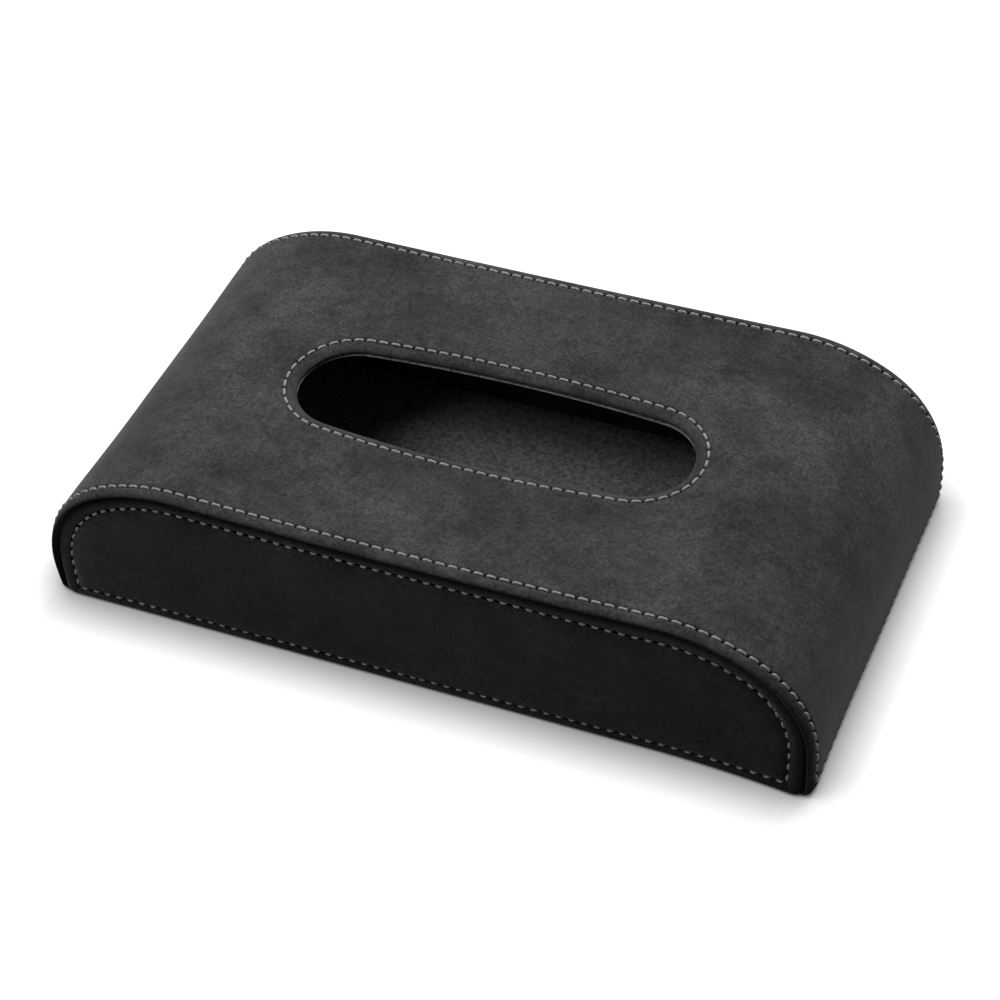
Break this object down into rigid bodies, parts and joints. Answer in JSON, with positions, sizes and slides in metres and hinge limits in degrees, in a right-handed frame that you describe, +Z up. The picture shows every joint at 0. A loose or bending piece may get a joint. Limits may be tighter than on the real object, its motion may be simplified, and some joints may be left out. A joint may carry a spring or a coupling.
{
  "type": "tissue box cover",
  "caption": "Low leather-covered box cover with rounded ends, an oval slot in the top for drawing tissues, and a hinged magnetic base flap for loading.",
  "frame": {"origin": "middle of the base, on the surface that the cover stands on", "axes": "+X along the cover's long side to its right end seen from the front, +Y from the front long side to the back, +Z up through the slot"},
  "size_m": [0.261, 0.14, 0.0572],
  "materials": {
    "suede_leather": "charcoal suede-surfaced leather, matt, cloudy tone",
    "suede_lining": "grey short-nap suede cloth",
    "foam_sheet": "thin grey foam sheet",
    "stiff_board": "stiff black-dyed fibreboard",
    "topstitch_thread": "light grey thick bonded thread",
    "magnet_steel": "nickel-plated disc magnet"
  },
  "bodies": {
    "shell": {"band_leather": "suede_leather", "band_foam": "foam_sheet", "band_board": "stiff_board", "band_lining": "suede_lining", "band_front_stitching": "topstitch_thread", "band_back_stitching": "topstitch_thread", "slot_stitching": "topstitch_thread", "left_hem_stitching": "topstitch_thread", "right_hem_stitching": "topstitch_thread", "front_panel_leather": "suede_leather", "front_panel_foam": "foam_sheet", "front_panel_board": "stiff_board", "front_panel_lining": "suede_lining", "front_panel_stitching": "topstitch_thread", "back_panel_leather": "suede_leather", "back_panel_foam": "foam_sheet", "back_panel_board": "stiff_board", "back_panel_lining": "suede_lining", "back_panel_stitching": "topstitch_thread", "ledge_board": "stiff_board", "ledge_cover": "suede_lining", "ledge_magnets": "magnet_steel", "hinge_strip": "suede_leather"},
    "base_flap": {"flap_leather": "suede_leather", "flap_board": "stiff_board", "flap_lining": "suede_lining", "flap_magnets": "magnet_steel", "flap_stitching": "topstitch_thread"}
  },
  "joints": [
    {"name": "flap_hinge", "type": "hinge", "parent": "shell", "child": "base_flap", "pos_m": [0, 0.062, 0.0006], "axis": [1, 0, 0], "range_deg": [0, 150], "deforming": ["hinge_strip"]}
  ]
}
